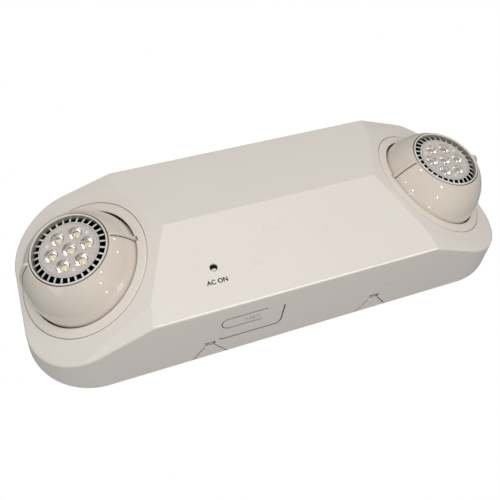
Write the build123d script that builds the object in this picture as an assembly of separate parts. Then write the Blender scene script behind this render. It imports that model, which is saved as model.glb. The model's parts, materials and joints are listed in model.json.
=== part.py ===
from build123d import *
import math
import os

os.makedirs("parts", exist_ok=True)

# Emergency light, two adjustable lamp heads on a wall housing.
# Built lying on its back: X along the length, Y towards the top, Z away from the wall.
# Each piece is stood upright when it is written, so that +Z is up and the wall is at +Y.

# Cover, mm: a drafted block with a roof-like face and a sloping facet at each end
LENGTH = 390.0
HEIGHT = 150.0
CORNER_R = 50.0
DRAFT = 7.0
WALL = 2.5
RIDGE_END = 112.1
RIDGE_Z = 71.7
FACE_END = 82.6
FACE_Z = 57.2
FACE_INSET = 7.0
CREASE_R = 2.2
WEDGE_TILT = 7.0
WEDGE_NEAR = (21.1, 24.0)
WEDGE_FAR = (39.0, 7.5)

# Eyeball: two half shells on a pair of tilt pins, with a rib between them
BALL_R = 44.0
BALL_WALL = 2.2
BALL_DROP = 5.0
HALF_STEP = 0.4
REAR_Z = -5.4
RIB_W = 2.4
RIB_PROUD = 1.7
PIN_R = 2.0
PIN_FIT = 0.05
PIN_SEAT = 0.02
EAR_R = 4.5
LAMP_OUT = {"left": 12.5, "right": 11.0}

# Turret ring, its skirt and its clip, in the frame of the end facet
TURRET_ROOM = 7.7
RING_PROUD = 0.53
RING_T = 2.6
RING_LIP = 2.5
BALL_GAP = 0.7
RIB_GAP = 1.0
SKIRT_T = 2.5
SKIRT_DEPTH = 11.5
SKIRT_FIT = 0.4
SEAT_GAP = 0.6
SEAT_DEPTH = 3.0
PAD_LAND = 3.3
PAD_DEPTH = 6.5
CLIP_LAND = 4.8
CLIP_T = 2.4

# Lamp of the 50 mm size with seven lensed chips
LAMP_R = 25.35
LAMP_FIT = 0.5
LAMP_RIM_H = 2.6
LAMP_RIM_T = 0.7
LAMP_L = 39.4
BEZEL_R = 27.9
BEZEL_GAP = 0.3
BEZEL_LAND = 0.8
BEZEL_RIM = 1.0
BEZEL_SEAT = 0.9
BEZEL_DEPTH = 2.3
LENS_R = 20.7
LENS_SUNK = 0.95
LENS_T = 1.4
LENS_CUP_L = 5.2
LENS_CUP_DROP = 2.5
LENS_FIT = 0.05
LENS_COUNT = 6
LENS_PITCH_R = 12.8
LENS_CUP_R = 5.2
PIP_COUNT = 3
PIP_PITCH_R = 16.6
PIP_R = 1.7
FIN_COUNT = 30
FIN_T = 1.5
FIN_GAP = 0.1
NECK_R = 8.0
NECK_L = 10.0
HIP_R = 11.0
HIP_L = 14.0
CORE_WALL = 0.6
LED_BOARD_T = 1.4
CHIP_W = 3.4
CHIP_T = 0.8
CONTACT_PITCH = 5.3
CONTACT_R = 0.78
CONTACT_L = 7.0
SOCKET_W = 13.0
SOCKET_D = 9.0
SOCKET_L = 12.7
SOCKET_BOSS_R = 5.6
SOCKET_BOSS_L = 2.5

# Back plate inside the cover, with snap tabs at the top and bottom edges
PLATE_T = 2.0
RIM_H = 7.0
RIM_T = 2.0
GAP = 0.3
TAB_X = (-70.2, 63.0)
TAB_BASE = 27.2
TAB_TOP = 7.4
TAB_H = 13.8
TAB_SLOT_H = 4.4
HOOK_W = 5.6
HOOK_H = 3.2
HOOK_T = 1.8
HOOK_ROOT_T = 3.4
NOSE_OUT = 2.0
NOSE_H = 2.4

# Openings of the back plate
BOX_PITCH = 88.9
BOX_SLOT_W = 5.0
BOX_SLOT_L = 12.0
KEY_X = 95.0
KEY_Y = 38.0
KEY_RISE = 9.0
KEY_HEAD_R = 4.6
KEY_SHANK_R = 2.3
ENTRY_R = 11.1
BUSHING_R = 8.5

# Test tongue in the lower wall, held by a knuckle
TONGUE_X0 = -60.5
TONGUE_X1 = -26.0
TONGUE_Z = 37.2
TONGUE_H = 10.6
TONGUE_CUT = 0.8
GROOVE_DOWN = 18.5
GROOVE_W = 0.9
GROOVE_D = 1.7
KNUCKLE_R = 1.25
KNUCKLE_FIT = 0.05

# Pilot light
PILOT_X = -57.7
PILOT_UP = 36.5
PILOT_R = 2.9
PIPE_R = 2.45
PIPE_SUNK = 3.6
PIPE_FOOT_R = 4.2
PIPE_FOOT_T = 1.8
PILOT_LED_R = 2.0
PILOT_LED_H = 3.6
PILOT_LED_GAP = 0.6

# Circuit board on four posts, the lower two a set way up from the lower edge
POST_X = (-80.0, -18.0)
POST_UP = 17.0
POST_PITCH = 92.0
POST_H = 8.0
POST_R = 3.2
POST_HOLE_R = 1.2
BOARD_T = 1.6
BOARD_EDGE = 6.0
BOARD_SCREW_R = 1.15
BOARD_HOLE_R = 1.8
SCREW_HEAD_R = 3.0
SCREW_HEAD_H = 1.8

# What stands on the board: middle in X, and in Y up from the lower posts, then its sizes
TRANSFORMER_AT = (-51.0, 64.0)
IRON_W = 38.0
IRON_D = 28.0
IRON_H = 30.0
COIL_W = 46.0
COIL_D = 14.0
COIL_H = 20.0
LUG_W = 50.0
LUG_D = 4.0
LUG_T = 1.2
CAN_AT = ((-74.0, 36.0), (-28.0, 36.0), (-28.0, 18.0))
CAN_R = (5.0, 6.3, 4.0)
CAN_H = (16.0, 20.0, 12.0)
CAN_LIP = 1.2
RELAY_AT = (-40.5, 7.5)
RELAY_W = 19.0
RELAY_D = 15.0
RELAY_H = 15.0
TERMINAL_AT = (-54.0, 88.0)
TERMINAL_W = 32.0
TERMINAL_D = 12.0
TERMINAL_H = 11.0
TERMINAL_PITCH = 10.0
TERMINAL_WAY_R = 1.8
TERMINAL_SCREW_R = 2.2
SWITCH_X = -52.0
SWITCH_GAP = 1.7
SWITCH_W = 7.0
SWITCH_D = 3.0
UPRIGHT_W = 10.0
UPRIGHT_T = 1.6
PLUNGER_R = 1.6

# Battery beside the board, under its strap
BATTERY_X = 16.0
BATTERY_GAP = 13.3
BATTERY_H = 101.0
BATTERY_TOP = 49.0
STRAP_Y = -25.0
STRAP_W = 18.0
STRAP_T = 1.2
STRAP_FOOT = 13.0
STRAP_SCREW_R = 1.5
STRAP_SCREW_IN = 7.5
TAG_W = 6.2
TAG_T = 0.8
TAG_H = 6.0
TAG_IN = 12.0
TAG_DOWN = 9.1

# Values that follow
RIDGE_X = LENGTH / 2 - RIDGE_END
FACE_X = LENGTH / 2 - FACE_END
TURRET_X = LENGTH / 2 - TURRET_ROOM - BALL_R
SIDES = {"left": -1, "right": 1}
BIG = 700.0
END_SLOPE = math.degrees(math.atan2(RIDGE_Z - FACE_Z, FACE_X - RIDGE_X))
FACE_SLOPE = math.degrees(math.atan2(RIDGE_Z - FACE_Z, HEIGHT / 2 - FACE_INSET))
LEAN = math.radians(DRAFT)
RING_BORE_R = BALL_R + BALL_GAP
SKIRT_BORE_R = BALL_R + RIB_PROUD + RIB_GAP
SKIRT_R = SKIRT_BORE_R + SKIRT_T
HOLE_R = SKIRT_R + SKIRT_FIT
RING_R = SKIRT_R + RING_LIP
PAD_R = RING_R + PAD_LAND
CLIP_R = SKIRT_R + CLIP_LAND
LAMP_BORE_R = LAMP_R + LAMP_FIT
BALL_BORE_R = BALL_R - BALL_WALL
BEZEL_Z = math.sqrt(BALL_R ** 2 - (BEZEL_R + BEZEL_GAP + BEZEL_LAND) ** 2)
LAMP_SEAT_Z = BEZEL_Z - BEZEL_DEPTH
LENS_TOP_Z = BEZEL_Z - LENS_SUNK
LENS_Z = LENS_TOP_Z - LENS_T
CORE_FLOOR_Z = LENS_Z - LENS_CUP_L
CORE_BACK_Z = LENS_TOP_Z - LAMP_L
PILOT_Y = PILOT_UP - HEIGHT / 2
POST_LOW = POST_UP - HEIGHT / 2
BATTERY_END = TURRET_X - BALL_R - BATTERY_GAP
BOARD_Z = PLATE_T + POST_H
BOARD_TOP = BOARD_Z + BOARD_T


def save(name, part):
    part = Rot(90, 0, 0) * part
    part.label = name
    export_step(part, f"parts/{name}.step")


# Simple solids
def disc(r, z0, z1):
    return Pos(0, 0, z0) * Cylinder(r, z1 - z0, align=(Align.CENTER, Align.CENTER, Align.MIN))


def ring(r_out, r_in, z0, z1):
    return disc(r_out, z0, z1) - disc(r_in, z0 - 1, z1 + 1)


def block(x0, x1, y0, y1, z0, z1):
    return Pos((x0 + x1) / 2, (y0 + y1) / 2, (z0 + z1) / 2) * Box(x1 - x0, y1 - y0, z1 - z0)


def upright(x, y, width, depth, z0, z1):
    # Block round a middle in X and Y.
    return Pos(x, y, z0) * Box(width, depth, z1 - z0, align=(Align.CENTER, Align.CENTER, Align.MIN))


def cross_rod(r, length):
    # Round rod along Y, centred on the origin.
    return Rot(90, 0, 0) * Cylinder(r, length)


def prism(points, y0, y1):
    # Outline in X and Z, pulled along Y.
    face = Plane.XZ * make_face(Polyline(*points, close=True))
    return Pos(0, y1, 0) * extrude(face, amount=y1 - y0)


def turned(points):
    # Profile in radius and height, turned about the local Z axis.
    face = Plane.XZ * make_face(Polyline(*points, close=True))
    return revolve(face, Axis.Z, 360)


def tray(inset, height):
    outline = RectangleRounded(LENGTH - 2 * inset, HEIGHT - 2 * inset, CORNER_R - inset)
    return extrude(outline, amount=height, taper=DRAFT)


def half_space(point, normal):
    plane = Plane(origin=point, z_dir=normal)
    return plane * Box(BIG, BIG, 200, align=(Align.CENTER, Align.CENTER, Align.MIN))


# Heights of the sloping faces and the frames that stand on them
def face_height(y):
    return RIDGE_Z - abs(y) * math.tan(math.radians(FACE_SLOPE))


def end_height(x):
    return RIDGE_Z - (abs(x) - RIDGE_X) * math.tan(math.radians(END_SLOPE))


def wall_plane():
    # Frame of the lower wall: X along the length, Y up the wall, Z outwards.
    outwards = (0, -math.cos(LEAN), math.sin(LEAN))
    return Plane(origin=(0, -HEIGHT / 2, 0), x_dir=(1, 0, 0), z_dir=outwards)


def turret_frame(side):
    s = SIDES[side]
    z = end_height(TURRET_X) + RING_PROUD / math.cos(math.radians(END_SLOPE))
    return Pos(s * TURRET_X, 0, z) * Rot(0, s * END_SLOPE, 0)


def lamp_frame(side):
    # Frame of the lamp: its centre is the eyeball's and its Z axis is where the lamp looks.
    centre = turret_frame(side) * Pos(0, 0, -BALL_DROP)
    return Pos(*centre.position) * Rot(0, SIDES[side] * LAMP_OUT[side], 0)


# Front cover
def wedge_cut(s, t, normal, drop):
    # Plane that turns the end facet down a little beside the turret, towards the corner.
    near_x = RIDGE_X + WEDGE_NEAR[0]
    near_y = HEIGHT / 2 - WEDGE_NEAR[1]
    far_x = LENGTH / 2 - WEDGE_FAR[0]
    far_y = HEIGHT / 2 - WEDGE_FAR[1]
    near = Vector(s * near_x, -t * near_y, end_height(near_x)) - normal * drop
    far = Vector(s * far_x, -t * far_y, end_height(far_x)) - normal * drop
    edge = Axis((0, 0, 0), (far - near).normalized())
    tilted = normal.rotate(edge, WEDGE_TILT)
    if tilted.Y * t > 0:
        tilted = normal.rotate(edge, -WEDGE_TILT)
    return half_space(near, tilted)


def hip_body(inset):
    # Drafted block whose top is cut by the face and end facets, all moved inwards by the inset.
    outline = RectangleRounded(LENGTH - 2 * inset, HEIGHT - 2 * inset, CORNER_R - inset)
    body = extrude(outline, amount=RIDGE_Z + 20, taper=DRAFT)
    up = math.radians(FACE_SLOPE)
    out = math.radians(END_SLOPE)
    for s in (-1, 1):
        normal = Vector(0, s * math.sin(up), math.cos(up))
        body -= half_space(Vector(0, 0, RIDGE_Z) - normal * inset, normal)
        normal = Vector(s * math.sin(out), 0, math.cos(out))
        body -= half_space(Vector(s * RIDGE_X, 0, RIDGE_Z) - normal * inset, normal)
        for t in (-1, 1):
            body -= wedge_cut(s, t, normal, inset)
    return body


def is_crease(edge):
    # Edges between the front faces and round them, apart from those that climb the walls.
    return edge.center().Z > WALL and abs(edge.tangent_at(0.5).Z) < 0.9


def tab_prism(x, base, top, height, slot):
    points = [(x - base / 2, -1), (x + base / 2, -1), (x + top / 2, height), (x - top / 2, height)]
    if slot:
        points[3:3] = [(x + top / 2, height + slot), (x - top / 2, height + slot)]
    return prism(points, -HEIGHT, HEIGHT)


def tongue_outline(margin):
    half = TONGUE_H / 2 + margin
    round_x = TONGUE_X0 + TONGUE_H / 2
    bar = Pos((round_x + TONGUE_X1) / 2, TONGUE_Z) * Rectangle(TONGUE_X1 - round_x, 2 * half)
    return bar + Pos(round_x, TONGUE_Z) * Circle(half)


def tongue_groove():
    # Bracket-shaped groove that runs under the tongue and up past its hinge.
    low = TONGUE_Z - GROOVE_DOWN
    x0 = TONGUE_X0
    x1 = TONGUE_X1
    path = Polyline(
        (x0 - 2.5, low + 1.5), (x0, low), (x1 + 7.5, low), (x1 + 10, low + 2.3), (x1 + 10.8, low + 5.3),
        (x1 + 12.6, TONGUE_Z + 4.5),
    )
    return trace(path, line_width=GROOVE_W)


def knuckle(r, height):
    return Pos(TONGUE_X1, TONGUE_Z, -WALL / 2) * cross_rod(r, height)


def front_cover():
    sharp = hip_body(0)
    outside = fillet([e for e in sharp.edges() if is_crease(e)], CREASE_R)
    body = outside - hip_body(WALL)
    for side in SIDES:
        turret = turret_frame(side)
        body += (turret * disc(PAD_R, -PAD_DEPTH, 2)) & sharp & outside
        body -= turret * disc(RING_R + SEAT_GAP, -SEAT_DEPTH, 20)
        body -= turret * disc(HOLE_R, -30, 20)
    for x in TAB_X:
        body -= tab_prism(x, TAB_BASE, TAB_TOP, TAB_H, TAB_SLOT_H)
    body -= wall_plane() * Pos(0, 0, -8) * extrude(tongue_outline(TONGUE_CUT), amount=10)
    body -= wall_plane() * knuckle(KNUCKLE_R + KNUCKLE_FIT, TONGUE_H + 2 * GAP)
    body -= wall_plane() * Pos(0, 0, -GROOVE_D) * extrude(tongue_groove(), amount=GROOVE_D + 1)
    return body - Pos(PILOT_X, PILOT_Y, 50) * Cylinder(PILOT_R, 60)


def test_tongue():
    body = wall_plane() * Pos(0, 0, -WALL) * extrude(tongue_outline(0), amount=WALL)
    return body + wall_plane() * knuckle(KNUCKLE_R, TONGUE_H)


# Back plate: a flat plate with a rim inside the cover, hooks, snap tabs, posts and openings
def cover_hook():
    # Spring arm with a nose that catches the slot above a tab.
    y = HEIGHT / 2 - WALL - GAP - (TAB_H + HOOK_H + 0.4) * math.tan(LEAN)
    top = TAB_H + HOOK_H
    nose_z = TAB_H + 0.4
    half = HOOK_W / 2
    arm = prism([(y, PLATE_T), (y, top), (y - HOOK_T, top), (y - HOOK_ROOT_T, PLATE_T)], -half, half)
    nose = prism([
        (y - 1, nose_z), (y + NOSE_OUT, nose_z + 0.4), (y + NOSE_OUT - 0.4, nose_z + NOSE_H - 1),
        (y - 1, nose_z + NOSE_H),
    ], -half, half)
    return arm + nose


def posts(r, z0, z1):
    return [Pos(x, y, 0) * disc(r, z0, z1) for x in POST_X for y in (POST_LOW, POST_LOW + POST_PITCH)]


def keyhole():
    slot = disc(KEY_HEAD_R, -1, 10) + block(-KEY_SHANK_R, KEY_SHANK_R, 0, KEY_RISE, -1, 10)
    return slot + Pos(0, KEY_RISE, 0) * disc(KEY_SHANK_R, -1, 10)


def back_plate():
    rim_in = WALL + GAP + RIM_T
    plate = tray(WALL + GAP, PLATE_T)
    plate += tray(WALL + GAP, RIM_H) - tray(rim_in, RIM_H)
    tab_ring = tray(0, TAB_H + 1) - tray(rim_in, TAB_H + 1)
    for x in TAB_X:
        plate += tab_ring & tab_prism(x, TAB_BASE - 0.8, TAB_TOP - 0.5, TAB_H - GAP, 0)
        for turn_z in (-90, 90):
            plate += Pos(x, 0, 0) * Rot(0, 0, turn_z) * cover_hook()
    plate += posts(POST_R, PLATE_T - 0.5, BOARD_Z)
    plate -= posts(POST_HOLE_R, PLATE_T + 1, BOARD_Z + 1)
    fence = BATTERY_H / 2 + 1.7
    for s in (-1, 1):
        plate += block(BATTERY_X - 4, BATTERY_END + 4, s * fence - 1.2, s * fence + 1.2, 1, RIM_H)
    for x in (-90, 90):
        for y in (-HEIGHT / 2 + 11, HEIGHT / 2 - 11):
            plate += block(x - 20, x + 20, y - 1, y + 1, 1, RIM_H - 2)
    plate -= [place * disc(STRAP_SCREW_R + 0.05, -1, 10) for place in strap_screw_places()]
    plate -= disc(ENTRY_R, -1, 10)
    slot = Pos(0, 0, 1) * extrude(SlotOverall(BOX_SLOT_L, BOX_SLOT_W), amount=8, both=True)
    for s in (-1, 1):
        plate -= Pos(0, s * BOX_PITCH / 2, 0) * Rot(0, 0, 90) * slot
        plate -= Pos(s * KEY_X, KEY_Y, 0) * keyhole()
    return plate


def wire_bushing():
    flange = PLATE_T + 1.5
    return ring(ENTRY_R, BUSHING_R, 0, flange) + ring(ENTRY_R + 2.4, BUSHING_R, PLATE_T, flange)


# Circuit board on its posts, with what stands on it
def circuit_board():
    high = POST_LOW + POST_PITCH
    board = block(
        POST_X[0] - BOARD_EDGE, POST_X[1] + BOARD_EDGE, POST_LOW - BOARD_EDGE, high + BOARD_EDGE,
        BOARD_Z, BOARD_TOP,
    )
    return board - posts(BOARD_HOLE_R, 0, 30)


def board_screws():
    heads = posts(SCREW_HEAD_R, BOARD_TOP, BOARD_TOP + SCREW_HEAD_H)
    shanks = posts(BOARD_SCREW_R, PLATE_T + 2, BOARD_TOP)
    return Compound(children=[head + shank for head, shank in zip(heads, shanks)])


def board_place(at):
    return Pos(at[0], POST_LOW + at[1], BOARD_TOP)


def transformer():
    coil_z = (IRON_H - COIL_H) / 2
    body = upright(0, 0, IRON_W, IRON_D, 0, IRON_H)
    body += upright(0, 0, COIL_W, COIL_D, coil_z, coil_z + COIL_H)
    return board_place(TRANSFORMER_AT) * (body + upright(0, 0, LUG_W, LUG_D, 0, LUG_T))


def capacitors():
    cans = []
    for at, r, h in zip(CAN_AT, CAN_R, CAN_H):
        cans.append(board_place(at) * (disc(r, 0, h) - disc(r - CAN_LIP, h - 0.4, h + 1)))
    return Compound(children=cans)


def relay():
    return board_place(RELAY_AT) * upright(0, 0, RELAY_W, RELAY_D, 0, RELAY_H)


def wire_terminal():
    body = upright(0, 0, TERMINAL_W, TERMINAL_D, 0, TERMINAL_H)
    for k in (-1, 0, 1):
        x = k * TERMINAL_PITCH
        body -= Pos(x, 0, 0) * disc(TERMINAL_SCREW_R, TERMINAL_H - 4, TERMINAL_H + 1)
        body -= Pos(x, TERMINAL_D / 2, TERMINAL_WAY_R * 2) * cross_rod(TERMINAL_WAY_R, TERMINAL_D / 2)
    return board_place(TERMINAL_AT) * body


def test_switch():
    # Plunger switch on an upright at the board's lower edge, facing the tongue.
    z = TONGUE_Z * math.cos(LEAN)
    wall_y = -HEIGHT / 2 + z * math.tan(LEAN) + WALL / math.cos(LEAN)
    foot_y = POST_LOW - BOARD_EDGE + 2
    body = upright(0, foot_y + UPRIGHT_T / 2, UPRIGHT_W, UPRIGHT_T, BOARD_TOP, z + UPRIGHT_W / 2)
    body += upright(0, foot_y - SWITCH_D / 2, SWITCH_W, SWITCH_D, z - SWITCH_W / 2, z + SWITCH_W / 2)
    reach = foot_y - wall_y - SWITCH_GAP
    body += Pos(0, foot_y, z) * Rot(90, 0, 0) * disc(PLUNGER_R, 0, reach)
    return Pos(SWITCH_X, 0, 0) * body


def pilot_light_pipe():
    # Clear pipe from the lamp on the board to the hole in the face, domed at its end.
    foot = BOARD_TOP + PILOT_LED_H + PILOT_LED_R + PILOT_LED_GAP
    top = face_height(PILOT_Y) - PIPE_SUNK
    pipe = disc(PIPE_R, foot, top) + Pos(0, 0, top) * Sphere(PIPE_R)
    return Pos(PILOT_X, PILOT_Y, 0) * (pipe + disc(PIPE_FOOT_R, foot, foot + PIPE_FOOT_T))


def pilot_led():
    top = BOARD_TOP + PILOT_LED_H
    led = disc(PILOT_LED_R, BOARD_TOP, top) + Pos(0, 0, top) * Sphere(PILOT_LED_R)
    return Pos(PILOT_X, PILOT_Y, 0) * led


def battery():
    half = BATTERY_H / 2
    lid_z = BATTERY_TOP - 3
    case = block(BATTERY_X, BATTERY_END, -half, half, PLATE_T, lid_z)
    return case + block(BATTERY_X + 1, BATTERY_END - 1, 1 - half, half - 1, lid_z, BATTERY_TOP)


def battery_terminals():
    # Bent tags on the lid, near the upper end.
    tags = []
    high = BATTERY_H / 2 - TAG_DOWN
    for x in (BATTERY_X + TAG_IN, BATTERY_END - TAG_IN):
        tag = upright(x, high - TAG_T / 2, TAG_W, TAG_T, BATTERY_TOP, BATTERY_TOP + TAG_H)
        foot = upright(x, high - TAG_W * 0.35, TAG_W, TAG_W * 0.7, BATTERY_TOP, BATTERY_TOP + TAG_T)
        tags.append(tag + foot)
    return Compound(children=tags)


def strap_screw_places():
    return [Pos(x, STRAP_Y, 0) for x in (BATTERY_X - STRAP_SCREW_IN, BATTERY_END + STRAP_SCREW_IN)]


def battery_strap():
    y0 = STRAP_Y - STRAP_W / 2
    y1 = STRAP_Y + STRAP_W / 2
    strap = block(BATTERY_X - STRAP_T, BATTERY_END + STRAP_T, y0, y1, PLATE_T, BATTERY_TOP + STRAP_T)
    strap += block(BATTERY_X - STRAP_FOOT, BATTERY_END + STRAP_FOOT, y0, y1, PLATE_T, PLATE_T + STRAP_T)
    strap -= block(BATTERY_X, BATTERY_END, y0 - 1, y1 + 1, 0, BATTERY_TOP)
    return strap - [place * disc(STRAP_SCREW_R + 0.4, 0, 10) for place in strap_screw_places()]


def strap_screws():
    seat = PLATE_T + STRAP_T
    screw = disc(3.4, seat, seat + 2) + disc(STRAP_SCREW_R, 0.2, seat)
    return Compound(children=[place * screw for place in strap_screw_places()])


# Turret: the ring turns in the end facet, held by its clip behind the pad
def turret_ring():
    body = turned([
        (RING_BORE_R, -RING_T), (RING_BORE_R, 0.1), (RING_BORE_R + 0.5, 0.5), (RING_R - 0.9, 0.1),
        (RING_R, -0.5), (RING_R, -RING_T), (SKIRT_R, -RING_T), (SKIRT_R, -SKIRT_DEPTH),
        (SKIRT_BORE_R, -SKIRT_DEPTH), (SKIRT_BORE_R, -RING_T),
    ])
    notch = RIB_W / 2 + 0.7
    body -= block(-SKIRT_BORE_R, SKIRT_BORE_R, -notch, notch, -4, 2)
    return body - Pos(0, 0, -BALL_DROP) * cross_rod(PIN_R + PIN_SEAT, 3 * SKIRT_R)


def turret_clip():
    top = -PAD_DEPTH - GAP
    body = ring(CLIP_R, SKIRT_R, top - CLIP_T, top)
    notch = block(CLIP_R - 2, CLIP_R + 2, -4, 4, top - 5, top + 1)
    return body - [Rot(0, 0, 30 + 120 * k) * notch for k in range(3)]


def tilt_pins():
    inner = BALL_R - 4
    middle = (SKIRT_R + inner) / 2
    pin = cross_rod(PIN_R, SKIRT_R - inner)
    return Compound(children=[Pos(0, s * middle, -BALL_DROP) * pin for s in (-1, 1)])


# Eyeball in the lamp frame, its centre at the origin
def ball_slice(r_out, y0, y1):
    shell = Sphere(r_out) - Sphere(BALL_BORE_R)
    shell &= block(-60, 60, y0, y1, REAR_Z, BEZEL_Z)
    return shell - disc(LAMP_BORE_R, 20, 60) - disc(BEZEL_R + BEZEL_GAP, BEZEL_Z - BEZEL_SEAT, 60)


def ball_half(s, r_out):
    # Half shell with an ear round its tilt pin.
    edge = RIB_W / 2
    ear = Pos(0, s * (BALL_R - 3), 0) * cross_rod(EAR_R, 4) & Sphere(r_out)
    shell = ball_slice(r_out, min(s * edge, s * 60), max(s * edge, s * 60)) + ear
    return shell - Pos(0, s * (BALL_R - 2), 0) * cross_rod(PIN_R + PIN_FIT, 14)


def ball_rib():
    return ball_slice(BALL_R + RIB_PROUD, -RIB_W / 2, RIB_W / 2)


def lamp_bezel():
    # Ring let into the ball's opening; its inner edge stands over the lamp's rim.
    top = BEZEL_Z + BEZEL_RIM
    seat = BEZEL_Z - BEZEL_SEAT
    lip = LAMP_R - 0.25
    plug = LAMP_BORE_R - 0.05
    return turned([
        (lip, LAMP_SEAT_Z), (LAMP_R + 0.35, top - 0.5), (LAMP_R + 0.7, top), (BEZEL_R - 0.7, top),
        (BEZEL_R, top - 0.6), (BEZEL_R, seat), (plug, seat), (plug, LAMP_SEAT_Z),
    ])


def lamp_spring():
    # Flat ring in the ball's groove that presses the lamp's rim against the bezel.
    top = LAMP_SEAT_Z - LAMP_RIM_H - GAP
    outer = math.sqrt(BALL_BORE_R ** 2 - top ** 2)
    body = ring(outer, LAMP_R - 0.4, top - 1.0, top)
    notch = block(LAMP_R - 2, LAMP_R + 2.5, -2, 2, top - 2, top + 1)
    return body - [Rot(0, 0, 60 * k) * notch for k in range(6)]


def lamp_body():
    # Core with a recess for the board and lens, its two contact pins behind.
    cup = LENS_R + LENS_FIT
    wall = cup + CORE_WALL
    back = CORE_BACK_Z
    body = turned([
        (0, back), (NECK_R, back), (NECK_R, back + NECK_L), (HIP_R, back + HIP_L),
        (wall, CORE_FLOOR_Z - 1), (wall, LENS_TOP_Z), (cup, LENS_TOP_Z), (cup, CORE_FLOOR_Z),
        (0, CORE_FLOOR_Z),
    ])
    pin = disc(CONTACT_R, back - CONTACT_L, back + 1)
    return body + [Pos(s * CONTACT_PITCH / 2, 0, 0) * pin for s in (-1, 1)]


def lamp_fins():
    # Cooling fins round the core, joined by the rim under the bezel.
    rim_z = LAMP_SEAT_Z - 0.15
    out = LAMP_R - 0.5
    root = LENS_R + LENS_FIT + CORE_WALL + FIN_GAP
    foot = CORE_BACK_Z + NECK_L + 1
    fin = prism([
        (NECK_R + 1.1, foot), (HIP_R + 1.5, foot), (out, rim_z - LAMP_RIM_H), (out, rim_z - 0.2),
        (root, LENS_TOP_Z - 0.3), (root, CORE_FLOOR_Z - 1),
        (HIP_R + 2 * FIN_GAP, CORE_BACK_Z + HIP_L + FIN_GAP),
    ], -FIN_T / 2, FIN_T / 2)
    fins = [Rot(0, 0, 360 / FIN_COUNT * (k + 0.5)) * fin for k in range(FIN_COUNT)]
    return ring(LAMP_R, LAMP_R - LAMP_RIM_T, rim_z - LAMP_RIM_H, rim_z) + fins


def lamp_board():
    return disc(LENS_R - 0.4, CORE_FLOOR_Z, CORE_FLOOR_Z + LED_BOARD_T)


def lens_places():
    around = [Rot(0, 0, 360 / LENS_COUNT * k) * Pos(LENS_PITCH_R, 0, 0) for k in range(LENS_COUNT)]
    return [Pos(0, 0, 0)] + [Pos(*place.position) for place in around]


def led_chips():
    z = CORE_FLOOR_Z + LED_BOARD_T
    half = CHIP_W / 2
    chip = block(-half, half, -half, half, z, z + CHIP_T)
    return Compound(children=[place * chip for place in lens_places()])


def lamp_lens():
    # Plate with a cup-shaped lens over each chip and three feet on the board.
    body = disc(LENS_R, LENS_Z, LENS_TOP_Z)
    cup = Pos(0, 0, LENS_Z - LENS_CUP_DROP / 2) * Cone(LENS_CUP_R / 2, LENS_CUP_R, LENS_CUP_DROP)
    body += [place * cup for place in lens_places()]
    foot = Pos(PIP_PITCH_R, 0, 0) * disc(PIP_R, CORE_FLOOR_Z + LED_BOARD_T, LENS_Z + 0.2)
    return body + [Rot(0, 0, 30 + 360 / PIP_COUNT * k) * foot for k in range(PIP_COUNT)]


def lamp_socket():
    # Two-hole socket pushed on the contact pins.
    top = CORE_BACK_Z - GAP
    foot = top - SOCKET_L
    body = upright(0, 0, SOCKET_W, SOCKET_D, foot, top) + disc(SOCKET_BOSS_R, foot - SOCKET_BOSS_L, foot + 1)
    way = disc(CONTACT_R + 0.12, CORE_BACK_Z - CONTACT_L - 1, top + 1)
    return body - [Pos(s * CONTACT_PITCH / 2, 0, 0) * way for s in (-1, 1)]


# Write every piece of the housing
save("front_cover", front_cover())
save("test_tongue", test_tongue())
save("back_plate", back_plate())
save("wire_bushing", wire_bushing())
save("circuit_board", circuit_board())
save("board_screws", board_screws())
save("transformer", transformer())
save("capacitors", capacitors())
save("relay", relay())
save("wire_terminal", wire_terminal())
save("test_switch", test_switch())
save("pilot_light_pipe", pilot_light_pipe())
save("pilot_led", pilot_led())
save("battery", battery())
save("battery_terminals", battery_terminals())
save("battery_strap", battery_strap())
save("strap_screws", strap_screws())

# Write the pieces of each turret and head
for side in SIDES:
    turret = turret_frame(side)
    lamp = lamp_frame(side)
    save(f"turret_ring_{side}", turret * turret_ring())
    save(f"turret_clip_{side}", turret * turret_clip())
    save(f"tilt_pins_{side}", turret * tilt_pins())
    save(f"eyeball_lower_{side}", lamp * (ball_half(-1, BALL_R) + ball_rib()))
    save(f"eyeball_upper_{side}", lamp * ball_half(1, BALL_R - HALF_STEP))
    save(f"lamp_bezel_{side}", lamp * lamp_bezel())
    save(f"lamp_spring_{side}", lamp * lamp_spring())
    save(f"lamp_body_{side}", lamp * lamp_body())
    save(f"lamp_fins_{side}", lamp * lamp_fins())
    save(f"lamp_board_{side}", lamp * lamp_board())
    save(f"led_chips_{side}", lamp * led_chips())
    save(f"lamp_lens_{side}", lamp * lamp_lens())
    save(f"lamp_socket_{side}", lamp * lamp_socket())
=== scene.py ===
# %% [markdown]
# # Emergency light
# A wall unit with a faceted housing and an eyeball lamp at each end. This script dresses
# it with its plastics and metals, and adds clear lenses, words, painted shade in the
# seams and gaps and the finer forms of each lamp.

# %% Load the frame
import json
import math

import bpy
from mathutils import Matrix, Vector


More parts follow.
